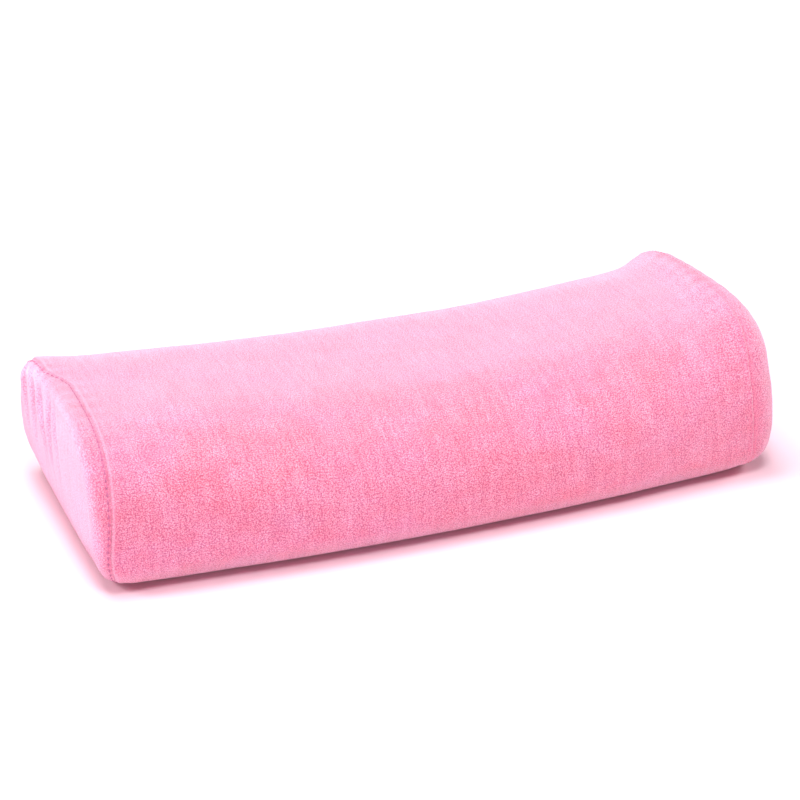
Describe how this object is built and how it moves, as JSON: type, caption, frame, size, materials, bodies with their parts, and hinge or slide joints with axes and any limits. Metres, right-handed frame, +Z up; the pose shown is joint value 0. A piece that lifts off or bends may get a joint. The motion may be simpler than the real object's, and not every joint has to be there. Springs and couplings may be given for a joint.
{
  "type": "manicure hand rest",
  "caption": "Half-column foam cushion in a towelling cover with rounded end panels and a lengthwise zip under its flat base, for resting the hand on during nail care.",
  "frame": {"origin": "middle of the flat base, on the surface the cushion stands on", "axes": "+X along the cushion to its right end, +Y to its rear, +Z up"},
  "size_m": [0.3, 0.1436, 0.0691],
  "materials": {
    "towelling": "soft pink cotton towelling",
    "foam": "cream upholstery foam",
    "zip_tape": "woven pink tape",
    "zip_nylon": "pink nylon",
    "zip_metal": "pink lacquer"
  },
  "bodies": {
    "cushion": {"foam_core": "foam", "cover_wrap": "towelling", "end_panel_left": "towelling", "end_panel_right": "towelling", "zip_tape_front": "zip_tape", "zip_tape_rear": "zip_tape", "zip_coil_front": "zip_nylon", "zip_coil_rear": "zip_nylon", "zip_top_stop_front": "zip_metal", "zip_top_stop_rear": "zip_metal", "zip_bottom_stop": "zip_metal"},
    "slider": {"zip_slider": "zip_metal"},
    "pull": {"zip_pull": "zip_metal"}
  },
  "joints": [
    {"name": "zip_slide", "type": "slide", "parent": "cushion", "child": "slider", "axis": [1, 0, 0], "range_m": [0, 0.232]},
    {"name": "pull_swing", "type": "hinge", "parent": "slider", "child": "pull", "pos_m": [-0.1217, 0, 0.00175], "axis": [0, 1, 0], "range_deg": [0, 150]}
  ]
}
